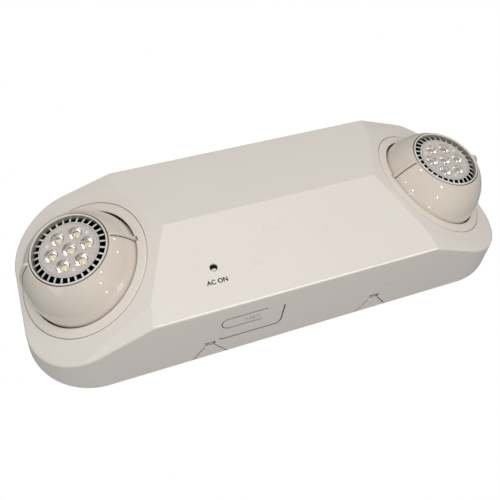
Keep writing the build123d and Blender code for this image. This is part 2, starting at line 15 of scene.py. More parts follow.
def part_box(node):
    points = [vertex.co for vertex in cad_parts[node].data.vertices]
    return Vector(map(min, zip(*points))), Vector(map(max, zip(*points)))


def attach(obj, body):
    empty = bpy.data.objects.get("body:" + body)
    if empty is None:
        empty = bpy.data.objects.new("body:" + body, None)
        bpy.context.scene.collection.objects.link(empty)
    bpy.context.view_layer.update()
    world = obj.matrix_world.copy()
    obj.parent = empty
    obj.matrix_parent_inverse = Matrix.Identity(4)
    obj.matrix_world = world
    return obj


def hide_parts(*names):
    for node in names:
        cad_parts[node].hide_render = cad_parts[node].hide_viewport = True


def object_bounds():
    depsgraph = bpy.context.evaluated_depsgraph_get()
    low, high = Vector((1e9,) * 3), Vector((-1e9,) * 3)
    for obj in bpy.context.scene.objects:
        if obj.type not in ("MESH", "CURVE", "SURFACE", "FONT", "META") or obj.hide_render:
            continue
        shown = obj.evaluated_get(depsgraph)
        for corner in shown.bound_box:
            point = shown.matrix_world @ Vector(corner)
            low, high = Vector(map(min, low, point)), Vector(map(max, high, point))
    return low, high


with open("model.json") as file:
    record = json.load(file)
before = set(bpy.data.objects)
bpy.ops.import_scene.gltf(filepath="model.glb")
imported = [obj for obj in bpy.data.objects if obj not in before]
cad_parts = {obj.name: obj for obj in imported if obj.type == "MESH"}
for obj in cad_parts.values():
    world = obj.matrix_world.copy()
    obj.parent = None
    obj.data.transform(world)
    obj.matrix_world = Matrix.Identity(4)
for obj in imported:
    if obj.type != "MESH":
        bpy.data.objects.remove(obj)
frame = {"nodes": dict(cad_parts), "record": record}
cad_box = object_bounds()
nodes = frame["nodes"]
MM = 0.001
SIDES = ("left", "right")
print("CAD box, mm:", [[round(v / MM, 1) for v in corner] for corner in cad_box])

# %% [markdown]
# ## Camera
# The photograph looks at the unit from below and a little from the left, close enough
# for strong perspective, and the picture is turned about the line of sight. So the
# camera gets a place, a point to look at and a roll, and an ordinary 42 mm lens.

# %% Camera
CAMERA_PLACE = Vector((-0.1267, -0.4100, -0.2290))
CAMERA_AIM = Vector((-0.0250, -0.0500, -0.0246))
CAMERA_ROLL = math.radians(22.18)
LENS_MM = 41.81

forward = (CAMERA_AIM - CAMERA_PLACE).normalized()
level = forward.cross(Vector((0, 0, 1))).normalized()
upright = level.cross(forward)
right = level * math.cos(CAMERA_ROLL) - upright * math.sin(CAMERA_ROLL)
up = upright * math.cos(CAMERA_ROLL) + level * math.sin(CAMERA_ROLL)
camera_data = bpy.data.cameras.new("camera")
camera_data.lens = LENS_MM
camera = bpy.data.objects.new("camera", camera_data)
turn = Matrix((right, up, -forward)).transposed()
camera.matrix_world = Matrix.Translation(CAMERA_PLACE) @ turn.to_4x4()
bpy.context.scene.collection.objects.link(camera)
bpy.context.scene.camera = camera
print("camera is", round((CAMERA_AIM - CAMERA_PLACE).length / MM), "mm from what it looks at")

# %% [markdown]
# ## White surround and pale floor
# The picture has a plain white ground. A world that is bright white to the camera but
# weak as a light gives that ground without washing out the shape. The unit hangs on a
# wall, so the floor lies well below it and only shows in the other views.

# %% Surround and floor
WORLD_LIGHT = 0.34
FLOOR_DROP = 0.90
FLOOR_SIZE = 6.0

world = bpy.data.worlds.new("studio")
bpy.context.scene.world = world
world.use_nodes = True
links = world.node_tree.links
seen = world.node_tree.nodes["Background"]
seen.inputs["Color"].default_value = (1, 1, 1, 1)
lighting = world.node_tree.nodes.new("ShaderNodeBackground")
lighting.inputs["Color"].default_value = (0.93, 0.985, 0.985, 1)
lighting.inputs["Strength"].default_value = WORLD_LIGHT
path = world.node_tree.nodes.new("ShaderNodeLightPath")
mix = world.node_tree.nodes.new("ShaderNodeMixShader")
links.new(path.outputs["Is Camera Ray"], mix.inputs["Fac"])
links.new(lighting.outputs["Background"], mix.inputs[1])
links.new(seen.outputs["Background"], mix.inputs[2])
links.new(mix.outputs["Shader"], world.node_tree.nodes["World Output"].inputs["Surface"])
bpy.context.scene.view_settings.view_transform = "Standard"

floor_z = cad_box[0][2] - FLOOR_DROP
bpy.ops.mesh.primitive_plane_add(size=FLOOR_SIZE, location=(0, 0, floor_z))
floor = bpy.context.object
floor.name = "floor"
bpy.ops.object.transform_apply(location=True)
print("floor at", round(floor_z / MM), "mm")

# %% [markdown]
# ## Studio light
# The lower face is the brightest, the upper face and the ends a little darker, and the
# lower wall falls into half shade. One large soft light in front of the unit and below
# it does that, and a second one straight in front keeps the upper face alive. A small
# cool one at the lower left tints the shaded side of the eyeballs. The large ones don't
# show in the gloss, where they would be big squares. A long thin strip below the main
# light shows in the gloss alone, and draws the bright line along the housing's crease.
# Only the housing mirrors it, because on the eyeballs it would be a long white line.

# %% Large lights
KEY_AWAY = Vector((-0.10, -1.10, -0.56))
KEY_SIZE = 0.55
KEY_WATTS = 5.0
KEY_COLOUR = (1.0, 0.985, 0.965)
STRIP_AWAY = Vector((0.34, -0.74, -0.86))
STRIP_LONG = 1.10
STRIP_HIGH = 0.03
STRIP_WATTS = 16.0
FRONT_AWAY = Vector((0.10, -1.20, 0.05))
FRONT_SIZE = 0.60
FRONT_WATTS = 2.8
FRONT_COLOUR = (1.0, 0.99, 0.97)
COOL_AWAY = Vector((-0.75, -0.25, -0.35))
COOL_SIZE = 0.30
COOL_WATTS = 0.25
COOL_COLOUR = (0.60, 0.82, 1.0)


def area_light(name, place, size, watts, colour):
    data = bpy.data.lights.new(name, "AREA")
    data.size = size
    data.energy = watts
    data.color = colour
    light = bpy.data.objects.new(name, data)
    light.location = place
    light.rotation_euler = (-place).to_track_quat("-Z", "Y").to_euler()
    bpy.context.scene.collection.objects.link(light)
    return light


key_light = area_light("key", KEY_AWAY, KEY_SIZE, KEY_WATTS, KEY_COLOUR)
key_light.visible_glossy = False
strip_light = area_light("strip", STRIP_AWAY, STRIP_LONG, STRIP_WATTS, KEY_COLOUR)
strip_light.data.shape = "RECTANGLE"
strip_light.data.size_y = STRIP_HIGH
lit_by_strip = bpy.data.collections.new("lit_by_strip")
for name in ("front_cover", "back_plate", "test_tongue"):
    lit_by_strip.objects.link(nodes[name])
strip_light.light_linking.receiver_collection = lit_by_strip
strip_light.visible_diffuse = False
front_light = area_light("front", FRONT_AWAY, FRONT_SIZE, FRONT_WATTS, FRONT_COLOUR)
front_light.visible_glossy = False
area_light("cool", COOL_AWAY, COOL_SIZE, COOL_WATTS, COOL_COLOUR)
print("main light", round(KEY_AWAY.length, 2), "m away, strip", round(STRIP_AWAY.length, 2), "m")

# %% [markdown]
# ## Small bright lamps
# The glossy eyeballs mirror a few small bright lamps as short white marks. A lamp that is
# to show at a given spot of a ball stands where the sight line is mirrored from there.
# Each one is small and weak, so it marks the gloss and hardly lights the rest. Size and
# power are given for one distance and grow with it, so that all the marks look alike.

# %% Small lamps
SMALL_LAMP = 0.016
SMALL_WATTS = 0.012
SMALL_AWAY = 0.33
SMALL_PLACES = (
    (-0.008, -0.088, -0.327),
    (0.043, -0.309, -0.503),
    (-0.840, -0.350, -0.398),
    (-0.705, -0.449, 0.048),
    (0.133, -0.485, -0.400),
    (-0.134, -0.568, 0.052),
    (0.612, -0.438, 0.380),
    (0.683, -0.481, 0.022),
    (-0.649, -0.449, -0.311),
)
for count, place in enumerate(SMALL_PLACES):
    spot = Vector(place)
    further = spot.length / SMALL_AWAY
    area_light(f"small_{count}", spot, SMALL_LAMP * further, SMALL_WATTS * further ** 2, (1, 1, 1))
print(len(SMALL_PLACES), "small lamps")

# %% [markdown]
# ## Places taken from the CAD
# A lamp looks along its own axis, which is the normal of the flat board inside it. The
# front of the lens lies as far along that axis as the CAD lens reaches. So a lens that is
# modelled flat round the origin can be put on its lamp by one matrix.

# %% Where each lamp is
def middle(node):
    low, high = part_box(node)
    return (low + high) / 2


def reach_along(node, axis):
    heights = [axis.dot(vertex.co) for vertex in nodes[node].data.vertices]
    return min(heights), max(heights)


def lamp_axis(side):
    # Normal of the board's largest face, turned to the front.
    face = max(nodes[f"lamp_board_{side}"].data.polygons, key=lambda polygon: polygon.area)
    return -face.normal.copy() if face.normal.y > 0 else face.normal.copy()


lamp_place = {}
for side in SIDES:
    axis = lamp_axis(side)
    upwards = Vector((0, 0, 1))
    across = upwards.cross(axis).normalized()
    centre = middle(f"lamp_board_{side}")
    centre += axis * (reach_along(f"lamp_lens_{side}", axis)[1] - axis.dot(centre))
    lamp_turn = Matrix((across, upwards, axis)).transposed().to_4x4()
    lamp_place[side] = Matrix.Translation(centre) @ lamp_turn
    print(side, "lamp looks along", [round(v, 3) for v in axis])

left_axis = lamp_axis("left")
lens_top = reach_along("lamp_lens_left", left_axis)[1]
lens_to_chip = lens_top - reach_along("led_chips_left", left_axis)[1]
print("chips lie", round(lens_to_chip / MM, 2), "mm behind the front of the lens")

# %% [markdown]
# ## Colours and nodes
# Colours are picked as sRGB hex values, as on a paint card, and the shader wants them
# linear, so one function converts them. Another adds a node, sets it and links it, which
# keeps every material short enough to read. A Mix node that mixes colours takes them at
# its inputs 6 and 7, with the share of the second one at input 0, and gives its result at
# output 2.

# %% Helpers for materials
def linear(hex_colour):
    channels = [int(hex_colour[i:i + 2], 16) / 255 for i in (1, 3, 5)]
    return [c / 12.92 if c <= 0.04045 else ((c + 0.055) / 1.055) ** 2.4 for c in channels] + [1.0]


def add_node(material, kind, inputs=None, **settings):
    node = material.node_tree.nodes.new(kind)
    for name, value in settings.items():
        setattr(node, name, value)
    for name, value in (inputs or {}).items():
        if isinstance(value, bpy.types.NodeSocket):
            material.node_tree.links.new(value, node.inputs[name])
        else:
            node.inputs[name].default_value = value
    return node


def per_mm(size_mm):
    # Noise scale that gives grains of this size.
    return 1 / (size_mm * MM)


print("helpers ready")

# %% [markdown]
# ## One recipe for plain finishes
# Most pieces here have an even finish: a colour that drifts slightly over the surface, as
# pigment, paint or plating does, and a fine relief from the mould, the spray or the die.
# The recipe takes both sizes in millimetres and also lets the gloss vary a little, so
# that no surface is one flat colour.

# %% Recipe for an even finish
DARK_UNDER = 0.1
LIGHT_OVER = 0.9
GLOSS_SWING = 0.07


def even_finish(name, light, dark, roughness, drift_mm, relief_mm, depth_mm, **sockets):
    material = bpy.data.materials.new(name)
    material.use_nodes = True
    shader = material.node_tree.nodes["Principled BSDF"]
    for socket, value in sockets.items():
        shader.inputs[socket.replace("_", " ")].default_value = value
    place = add_node(material, "ShaderNodeTexCoord").outputs["Object"]
    drift = add_node(
        material, "ShaderNodeTexNoise", {"Vector": place, "Scale": per_mm(drift_mm), "Detail": 3.0}
    )
    colours = add_node(material, "ShaderNodeValToRGB", {"Fac": drift.outputs["Fac"]})
    colours.color_ramp.elements[0].position = DARK_UNDER
    colours.color_ramp.elements[0].color = linear(dark)
    colours.color_ramp.elements[1].position = LIGHT_OVER
    colours.color_ramp.elements[1].color = linear(light)
    gloss = add_node(material, "ShaderNodeMapRange", {
        "Value": drift.outputs["Fac"],
        "To Min": roughness * (1 - GLOSS_SWING), "To Max": roughness * (1 + GLOSS_SWING),
    })
    relief = add_node(
        material, "ShaderNodeTexNoise", {"Vector": place, "Scale": per_mm(relief_mm), "Detail": 1.0}
    )
    bump = add_node(
        material, "ShaderNodeBump", {"Height": relief.outputs["Fac"], "Distance": depth_mm * MM}
    )
    material.node_tree.links.new(colours.outputs["Color"], shader.inputs["Base Color"])
    material.node_tree.links.new(gloss.outputs["Result"], shader.inputs["Roughness"])
    material.node_tree.links.new(bump.outputs["Normal"], shader.inputs["Normal"])
    return material


print("recipe ready")

# %% [markdown]
# ## Housing plastic
# The cover, back plate and tongue are moulded in off-white flame-retardant ABS. The mould
# is spark eroded, which leaves a fine even grain, so the surface is satin: broad soft
# highlights and no clear reflection. The grain shows as a very faint speckle. The turret
# rings come from a smoother tool. A dark matt colour is painted into the seams as shade.

# %% Housing plastic
PAINTED_SHADE_COLOUR = "#5F584F"

housing_plastic = even_finish(
    "satin_moulded_ABS", "#EEE5DD", "#ECE2DA", 0.28, drift_mm=40, relief_mm=0.9, depth_mm=0.014, IOR=1.53,
)
turret_plastic = even_finish(
    "smooth_ABS_painted_shade", "#EEE5DB", "#E9DFD4", 0.28, drift_mm=40, relief_mm=0.5, depth_mm=0.006, IOR=1.53,
)
# Painted shade: a dark matt colour for seams, gaps and outlines where shade falls.
seam_shade_finish = even_finish(
    "painted_shade_in_seams", PAINTED_SHADE_COLOUR, "#4F4941", 0.8, drift_mm=2, relief_mm=0.3, depth_mm=0.01, IOR=1.45,
)
print("housing plastics and painted seam shade made")

# %% [markdown]
# ## Painted shade at the inner edge of the turrets
# The narrow gap between ball and ring lies in shade, and that shade is painted on the
# ring as a dark colour. The inner edge of the ring is what lies nearest to the ball, so a
# point's distance from the ball's centre says where the shade is painted. The ring turns
# about that centre, so the painted shade stays at the edge.

# %% Painted shade at the inner edge
SHADE_REACH = -0.8 * MM

joint_place = {joint["name"]: Vector(joint["pos_m"]) for joint in frame["record"]["behaviour"]["joints"]}


def turret_with_painted_shade(side):
    material = turret_plastic.copy()
    material.name = f"smooth_ABS_painted_shade_{side}"
    shader = material.node_tree.nodes["Principled BSDF"]
    plain_colour = shader.inputs["Base Color"].links[0].from_socket
    centre = joint_place[f"head_{side}_tilt"]
    ball_r = max((vertex.co - centre).length for vertex in nodes[f"eyeball_lower_{side}"].data.vertices)
    place = add_node(material, "ShaderNodeTexCoord").outputs["Object"]
    away = add_node(material, "ShaderNodeVectorMath", {0: place, 1: centre}, operation="DISTANCE")
    in_gap_shade = add_node(
        material, "ShaderNodeMath", {0: away.outputs["Value"], 1: ball_r + SHADE_REACH},
        operation="LESS_THAN",
    )
    # Painted shade: within the ball's radius plus the reach, the ring takes the dark colour.
    shaded_edge_colour = add_node(
        material, "ShaderNodeMix", {0: in_gap_shade.outputs["Value"], 6: plain_colour}, data_type="RGBA"
    )
    shaded_edge_colour.inputs[7].default_value = linear(PAINTED_SHADE_COLOUR)
    material.node_tree.links.new(shaded_edge_colour.outputs[2], shader.inputs["Base Color"])
    print(side, "ball is", round(ball_r / MM, 2), "mm in radius")
    return material


turret_finish_shaded = {side: turret_with_painted_shade(side) for side in SIDES}

# %% [markdown]
# ## Eyeball and bezel plastic
# The eyeball shells and the ring in front are moulded in polished tools from the same
# off-white ABS, so they are glossy: small sharp lights show in them. A very weak and wide
# relief stands for the slight unevenness of a moulded sphere. The wall inside the ring
# lies in its own shade and mirrors the dark fins, so its grey is painted shade and a
# painted reflection of the fins, and it is glossier still.

# %% Eyeball and bezel plastic
eyeball_plastic = even_finish(
    "polished_moulded_ABS", "#E5D9CD", "#E0D3C6", 0.07, drift_mm=30, relief_mm=12, depth_mm=0.012,
    IOR=1.54, Coat_Weight=0.5,
)
bezel_plastic = even_finish(
    "polished_ring_ABS", "#EFE8DE", "#EAE2D6", 0.08, drift_mm=20, relief_mm=8, depth_mm=0.006,
    IOR=1.54, Coat_Weight=0.5,
)
# Painted shade and painted reflection: this grey stands for the wall's shade and the fins it mirrors.
bezel_shade = even_finish(
    "polished_ABS_painted_shade", "#A3978B", "#92877C", 0.05, drift_mm=8, relief_mm=4, depth_mm=0.01,
    IOR=1.54, Coat_Weight=1.0,
)
print("glossy plastics made")

# %% [markdown]
# ## Black lamp body with bare edges
# The lamp's core and fins are aluminium, coated black, and the front edges are then turned
# bright on a lathe. So the colour goes by direction: what faces along the lamp axis is
# bare metal, the rest is black. The surface normal is read in object space, which turns
# with the lamp, so the edges stay bright at every pose.

# %% Black coating with turned front edges
TURNED_FROM = 0.60
TURNED_TO = 0.70
COATED_ROUGH = 0.42
TURNED_ROUGH = 0.30


def turned_black(name, axis):
    material = bpy.data.materials.new(name)
    material.use_nodes = True
    shader = material.node_tree.nodes["Principled BSDF"]
    sources = add_node(material, "ShaderNodeTexCoord")
    ahead = add_node(
        material, "ShaderNodeVectorMath", {0: sources.outputs["Normal"], 1: axis}, operation="DOT_PRODUCT"
    )
    turned = add_node(
        material, "ShaderNodeMapRange",
        {"Value": ahead.outputs["Value"], "From Min": TURNED_FROM, "From Max": TURNED_TO},
    )
    scuff = add_node(
        material, "ShaderNodeTexNoise",
        {"Vector": sources.outputs["Object"], "Scale": per_mm(0.8), "Detail": 2.0},
    )
    bare = add_node(material, "ShaderNodeMix", {0: scuff.outputs["Fac"]}, data_type="RGBA")
    bare.inputs[6].default_value = linear("#B9B7B6")
    bare.inputs[7].default_value = linear("#F2F0EE")
    colour = add_node(
        material, "ShaderNodeMix", {0: turned.outputs["Result"], 7: bare.outputs[2]}, data_type="RGBA"
    )
    colour.inputs[6].default_value = linear("#0B0A0A")
    shine = add_node(
        material, "ShaderNodeMapRange",
        {"Value": turned.outputs["Result"], "To Min": COATED_ROUGH, "To Max": TURNED_ROUGH},
    )
    material.node_tree.links.new(colour.outputs[2], shader.inputs["Base Color"])
    material.node_tree.links.new(shine.outputs["Result"], shader.inputs["Roughness"])
    return material


lamp_black = {side: turned_black(f"black_coated_aluminium_{side}", lamp_axis(side)) for side in SIDES}
rim_black = even_finish(
    "black_coated_aluminium_rim", "#161414", "#0C0B0B", 0.4, drift_mm=3, relief_mm=0.6, depth_mm=0.01,
    IOR=1.5,
)
print("lamp body finish made for both sides")

# %% [markdown]
# ## Lens plastics
# The lens is one moulding of clear polycarbonate, but its plate is ground on the back to
# hide the board, and only the seven domes are polished. So the plate is a pale, slightly
# clear grey with a fine relief, and the domes are clear glass-like plastic.

# %% Lens plastics
lens_ground = even_finish(
    "ground_polycarbonate", "#E0D6D0", "#CCC1BB", 0.20, drift_mm=4, relief_mm=1.2, depth_mm=0.06,
    IOR=1.585, Transmission_Weight=0.05,
)
lens_polished = even_finish(
    "polished_polycarbonate", "#FFFFFF", "#FAFAF7", 0.02, drift_mm=6, relief_mm=3.0, depth_mm=0.01,
    IOR=1.585, Transmission_Weight=1.0,
)
lens_moulded = even_finish(
    "moulded_polycarbonate", "#E6E1DC", "#DCD6D1", 0.16, drift_mm=6, relief_mm=3.0, depth_mm=0.01,
    IOR=1.585, Transmission_Weight=1.0,
)
cup_plastic = even_finish(
    "moulded_polycarbonate_cup", "#CFC6C0", "#B3AAA5", 0.25, drift_mm=3, relief_mm=1.0, depth_mm=0.03,
    IOR=1.585,
)
print("lens plastics made")

# %% [markdown]
# ## Light-emitting chips and their board
# Seven chips in white ceramic packages sit on a board with a white solder mask. The
# phosphor on them is a soft silicone full of fine grains, so its yellow is even with a
# grainy, waxy gloss. The mask is a glossy lacquer that takes on the slight relief of the
# copper under it.

# %% Chips and board
chip_phosphor = even_finish(
    "phosphor_silicone", "#F4EEBE", "#EBE09A", 0.30, drift_mm=1.2, relief_mm=0.3, depth_mm=0.02, IOR=1.41,
)
white_mask = even_finish(
    "white_solder_mask", "#EFEDE8", "#E2DFD9", 0.28, drift_mm=5, relief_mm=1.5, depth_mm=0.02, IOR=1.52,
)
white_ceramic = even_finish(
    "white_ceramic_package", "#F3EFE8", "#E6E1D8", 0.35, drift_mm=1.5, relief_mm=0.3, depth_mm=0.01,
    IOR=1.6,
)
print("chips and board made")

# %% [markdown]
# ## Metals
# The springs, strap, screws and pins are steel, some zinc plated. Zinc gives a slightly
# cloudy blue-grey, and rolled strip keeps its mill finish, so the drift is small and the
# gloss middling. The battery tags are tinned brass, warmer and a little duller.

# %% Metals
zinc_steel = even_finish(
    "zinc_plated_steel", "#C3C6CA", "#A9ADB3", 0.30, drift_mm=2.5, relief_mm=0.4, depth_mm=0.004,
    Metallic=1.0,
)
mill_steel = even_finish(
    "rolled_spring_steel", "#A8A6A2", "#8F8D8A", 0.34, drift_mm=3, relief_mm=0.6, depth_mm=0.006,
    Metallic=1.0,
)
tinned_brass = even_finish(
    "tinned_brass", "#D2B978", "#B89A58", 0.30, drift_mm=2, relief_mm=0.5, depth_mm=0.004, Metallic=1.0,
)
print("metals made")

# %% [markdown]
# ## Rubber, ceramic and small mouldings
# The bushing is black rubber, matt with a dusty drift. The lamp socket is glazed
# steatite, white and smooth. Relay, terminal, switch and capacitor sleeves are small
# mouldings in their usual colours, with the slight orange peel of a cheap tool. The
# pilot's red epoxy and its acrylic pipe are smooth and glossy.

# %% Rubber, ceramic and small mouldings
black_rubber = even_finish(
    "moulded_black_rubber", "#1D1C1B", "#141414", 0.75, drift_mm=6, relief_mm=0.4, depth_mm=0.02, IOR=1.5,
)
glazed_steatite = even_finish(
    "glazed_steatite", "#EFEBE2", "#E2DDD2", 0.18, drift_mm=4, relief_mm=2.0, depth_mm=0.02, IOR=1.6,
)
relay_blue = even_finish(
    "blue_moulded_PBT", "#2F5AA6", "#284E94", 0.30, drift_mm=6, relief_mm=0.6, depth_mm=0.008, IOR=1.55,
)
terminal_green = even_finish(
    "green_moulded_polyamide", "#2F8A4C", "#277A42", 0.38, drift_mm=6, relief_mm=0.5, depth_mm=0.01,
    IOR=1.53,
)
switch_black = even_finish(
    "black_moulded_PBT", "#232325", "#191A1C", 0.42, drift_mm=5, relief_mm=0.5, depth_mm=0.01, IOR=1.55,
)
sleeve_black = even_finish(
    "shrunk_PET_sleeve", "#1C1E24", "#14161B", 0.22, drift_mm=4, relief_mm=2.0, depth_mm=0.02, IOR=1.57,
)
pilot_red = even_finish(
    "red_cast_epoxy", "#D0301F", "#B92418", 0.10, drift_mm=2, relief_mm=1.5, depth_mm=0.005, IOR=1.55,
)
pipe_acrylic = even_finish(
    "moulded_acrylic", "#F4F1EA", "#E8E4DB", 0.06, drift_mm=2, relief_mm=1.5, depth_mm=0.005,
    IOR=1.49, Transmission_Weight=0.1,
)
print("small mouldings made")

# %% [markdown]
# ## Domed end of the light pipe, with a painted reflection
# The pipe's clear end is a small dome, and a dome of clear plastic is a lens: its lower
# half shows the bright room below, its upper half the dark inside of the housing. This is
# a painted reflection in its colour: it goes by how far the surface faces down along the
# leaning front of the cover, white below and dark above.

# %% Domed end of the light pipe, painted reflection
FACE_LEAN = math.radians(12.06)
PIPE_DARK_AT = -0.15
PIPE_LIGHT_AT = 0.0

face_out = Vector((0, -math.cos(FACE_LEAN), -math.sin(FACE_LEAN)))
face_up = Vector((0, -math.sin(FACE_LEAN), math.cos(FACE_LEAN)))

shader = pipe_acrylic.node_tree.nodes["Principled BSDF"]
sources = add_node(pipe_acrylic, "ShaderNodeTexCoord")
down = add_node(
    pipe_acrylic, "ShaderNodeVectorMath", {0: sources.outputs["Normal"], 1: -face_up},
    operation="DOT_PRODUCT",
)
reflection_share = add_node(
    pipe_acrylic, "ShaderNodeMapRange",
    {"Value": down.outputs["Value"], "From Min": PIPE_DARK_AT, "From Max": PIPE_LIGHT_AT},
)
# Painted reflection: dark for the housing's inside above, white for the bright room below.
painted_reflection = add_node(pipe_acrylic, "ShaderNodeMix", {0: reflection_share.outputs["Result"]}, data_type="RGBA")
painted_reflection.inputs[6].default_value = linear("#3B3430")
painted_reflection.inputs[7].default_value = linear("#FFFDF8")
pipe_acrylic.node_tree.links.new(painted_reflection.outputs[2], shader.inputs["Base Color"])
print("lower face leans by", round(math.degrees(FACE_LEAN), 1), "degrees")

# %% [markdown]
# ## Circuit board
# The board is glass-fibre laminate under green solder mask. Copper tracks show through the
# mask as lighter lines about a millimetre wide, and a cell pattern draws them.

# %% Circuit board
TRACK_PITCH_MM = 6.0
TRACK_HALF_MM = 0.36
TRACK_FADE_MM = 0.18

track_board = even_finish(
    "green_solder_mask", "#1D6B3A", "#175C31", 0.26, drift_mm=9, relief_mm=0.8, depth_mm=0.006, IOR=1.52,
)
shader = track_board.node_tree.nodes["Principled BSDF"]
ground_colour = shader.inputs["Base Color"].links[0].from_socket
place = add_node(track_board, "ShaderNodeTexCoord").outputs["Object"]
cells = add_node(
    track_board, "ShaderNodeTexVoronoi", {"Vector": place, "Scale": per_mm(TRACK_PITCH_MM)},
    feature="DISTANCE_TO_EDGE",
)
track = add_node(track_board, "ShaderNodeMapRange", {
    "Value": cells.outputs["Distance"], "From Min": TRACK_HALF_MM / TRACK_PITCH_MM,
    "From Max": (TRACK_HALF_MM + TRACK_FADE_MM) / TRACK_PITCH_MM, "To Min": 1.0, "To Max": 0.0,
})
tracked = add_node(
    track_board, "ShaderNodeMix", {0: track.outputs["Result"], 6: ground_colour}, data_type="RGBA"
)
tracked.inputs[7].default_value = linear("#3F8F55")
track_board.node_tree.links.new(tracked.outputs[2], shader.inputs["Base Color"])
print("board made")

# %% [markdown]
# ## Transformer
# The transformer is a stack of thin iron sheets, dipped in varnish, with an amber taped
# coil that stands out at both ends. A sheet is half a millimetre thick, too fine to show,
# so the stack is drawn as bands of 6.3 mm. A point's distance from the middle says if it
# is on the coil, which starts a hair past the iron, so that the iron's ends stay iron.

# %% Transformer
BAND_MM = 6.283
WAVE_BANDS = 20 / (2 * math.pi)  # in one metre of a Wave texture at scale 1
IRON_HALF_MM = 19.0
PAST_IRON_MM = 0.02

laminated_iron = even_finish(
    "varnished_iron_sheets", "#57524D", "#46423E", 0.34, drift_mm=5, relief_mm=0.6, depth_mm=0.01, IOR=1.5,
)
shader = laminated_iron.node_tree.nodes["Principled BSDF"]
iron_colour = shader.inputs["Base Color"].links[0].from_socket
place = add_node(laminated_iron, "ShaderNodeTexCoord").outputs["Object"]
sheets = add_node(
    laminated_iron, "ShaderNodeTexWave",
    {"Vector": place, "Scale": per_mm(BAND_MM) / WAVE_BANDS, "Distortion": 0.0}, bands_direction="Z",
)
lined = add_node(
    laminated_iron, "ShaderNodeMix", {0: sheets.outputs["Fac"], 6: iron_colour}, data_type="RGBA"
)
lined.inputs[7].default_value = linear("#2E2B29")
from_middle = add_node(
    laminated_iron, "ShaderNodeVectorMath", {0: place, 1: middle("transformer")}, operation="SUBTRACT"
)
parts = add_node(laminated_iron, "ShaderNodeSeparateXYZ", {"Vector": from_middle.outputs["Vector"]})
sideways = add_node(laminated_iron, "ShaderNodeMath", {0: parts.outputs["X"]}, operation="ABSOLUTE")
in_coil = add_node(
    laminated_iron, "ShaderNodeMath",
    {0: sideways.outputs["Value"], 1: (IRON_HALF_MM + PAST_IRON_MM) * MM}, operation="GREATER_THAN",
)
zoned = add_node(
    laminated_iron, "ShaderNodeMix", {0: in_coil.outputs["Value"], 6: lined.outputs[2]}, data_type="RGBA"
)
zoned.inputs[7].default_value = linear("#C98A2E")
laminated_iron.node_tree.links.new(zoned.outputs[2], shader.inputs["Base Color"])
print("transformer made, iron", 2 * IRON_HALF_MM, "mm wide")

# %% [markdown]
# ## Battery
# The battery is a moulded grey ABS case with a slight grain and a paler lid, which looks
# to the front. The lid is the part that lies further from the wall than a set distance.

# %% Battery
LID_MM = 46.0

battery_grey = even_finish(
    "grey_battery_ABS", "#4A4B4F", "#414246", 0.40, drift_mm=20, relief_mm=0.5, depth_mm=0.012, IOR=1.53,
)
shader = battery_grey.node_tree.nodes["Principled BSDF"]
case_colour = shader.inputs["Base Color"].links[0].from_socket
place = add_node(battery_grey, "ShaderNodeTexCoord").outputs["Object"]
parts = add_node(battery_grey, "ShaderNodeSeparateXYZ", {"Vector": place})
on_lid = add_node(
    battery_grey, "ShaderNodeMath", {0: parts.outputs["Y"], 1: -LID_MM * MM}, operation="LESS_THAN"
)
lidded = add_node(
    battery_grey, "ShaderNodeMix", {0: on_lid.outputs["Value"], 6: case_colour}, data_type="RGBA"
)
lidded.inputs[7].default_value = linear("#6A6B70")
battery_grey.node_tree.links.new(lidded.outputs[2], shader.inputs["Base Color"])
print("battery made, lid from", LID_MM, "mm off the wall")

# %% [markdown]
# ## Dress the CAD pieces
# Each kind of CAD piece gets its finish, the same on both sides. Only the lamp's black
# parts and the turret rings with painted shade have one for each side.

# %% Dress the CAD pieces
FINISH = {
    "front_cover": housing_plastic, "back_plate": housing_plastic, "test_tongue": housing_plastic,
    "turret_clip": turret_plastic, "tilt_pins": zinc_steel,
    "eyeball_lower": eyeball_plastic, "eyeball_upper": eyeball_plastic, "lamp_bezel": bezel_plastic,
    "lamp_spring": mill_steel, "lamp_board": white_mask, "led_chips": white_ceramic,
    "lamp_lens": lens_polished, "lamp_socket": glazed_steatite, "wire_bushing": black_rubber,
    "circuit_board": track_board, "board_screws": zinc_steel, "transformer": laminated_iron,
    "capacitors": sleeve_black, "relay": relay_blue, "wire_terminal": terminal_green,
    "test_switch": switch_black, "pilot_light_pipe": pipe_acrylic, "pilot_led": pilot_red,
    "battery": battery_grey, "battery_terminals": tinned_brass, "battery_strap": mill_steel,
    "strap_screws": zinc_steel,
}
by_side = {"lamp_body": lamp_black, "lamp_fins": lamp_black, "turret_ring": turret_finish_shaded}
for name, node in nodes.items():
    side = "right" if name.endswith("_right") else "left"
    kind = name.removesuffix("_left").removesuffix("_right")
    node.data.materials.clear()
    node.data.materials.append(by_side[kind][side] if kind in by_side else FINISH[kind])
print(len(nodes), "nodes dressed")

# %% [markdown]
# ## Helpers for modelling
# An operator works on everything that is selected, so each new piece starts from nothing
# selected. Faces are picked in code, by a test on each face. A finished piece is put on
# its lamp by moving its mesh, so that its object stays at the origin.

# %% Helpers for modelling
def pick_faces(piece, test):
    bpy.ops.object.mode_set(mode="EDIT")
    bpy.ops.mesh.select_mode(type="FACE")
    bpy.ops.mesh.select_all(action="DESELECT")
    bpy.ops.object.mode_set(mode="OBJECT")
    for face in piece.data.polygons:
        face.select = test(face)
    bpy.ops.object.mode_set(mode="EDIT")


def copy_at(piece, name, place):
    copy = piece.copy()
    copy.data = piece.data.copy()
    copy.name = name
    copy.data.transform(place)
    bpy.context.scene.collection.objects.link(copy)
    return copy


def join(pieces, name):
    bpy.ops.object.select_all(action="DESELECT")
    for piece in pieces:
        piece.select_set(True)
    bpy.context.view_layer.objects.active = pieces[0]
    if len(pieces) > 1:
        bpy.ops.object.join()
    pieces[0].name = name
    return pieces[0]


def select_only(piece):
    bpy.ops.object.select_all(action="DESELECT")
    piece.select_set(True)
    bpy.context.view_layer.objects.active = piece


print("modelling helpers ready")
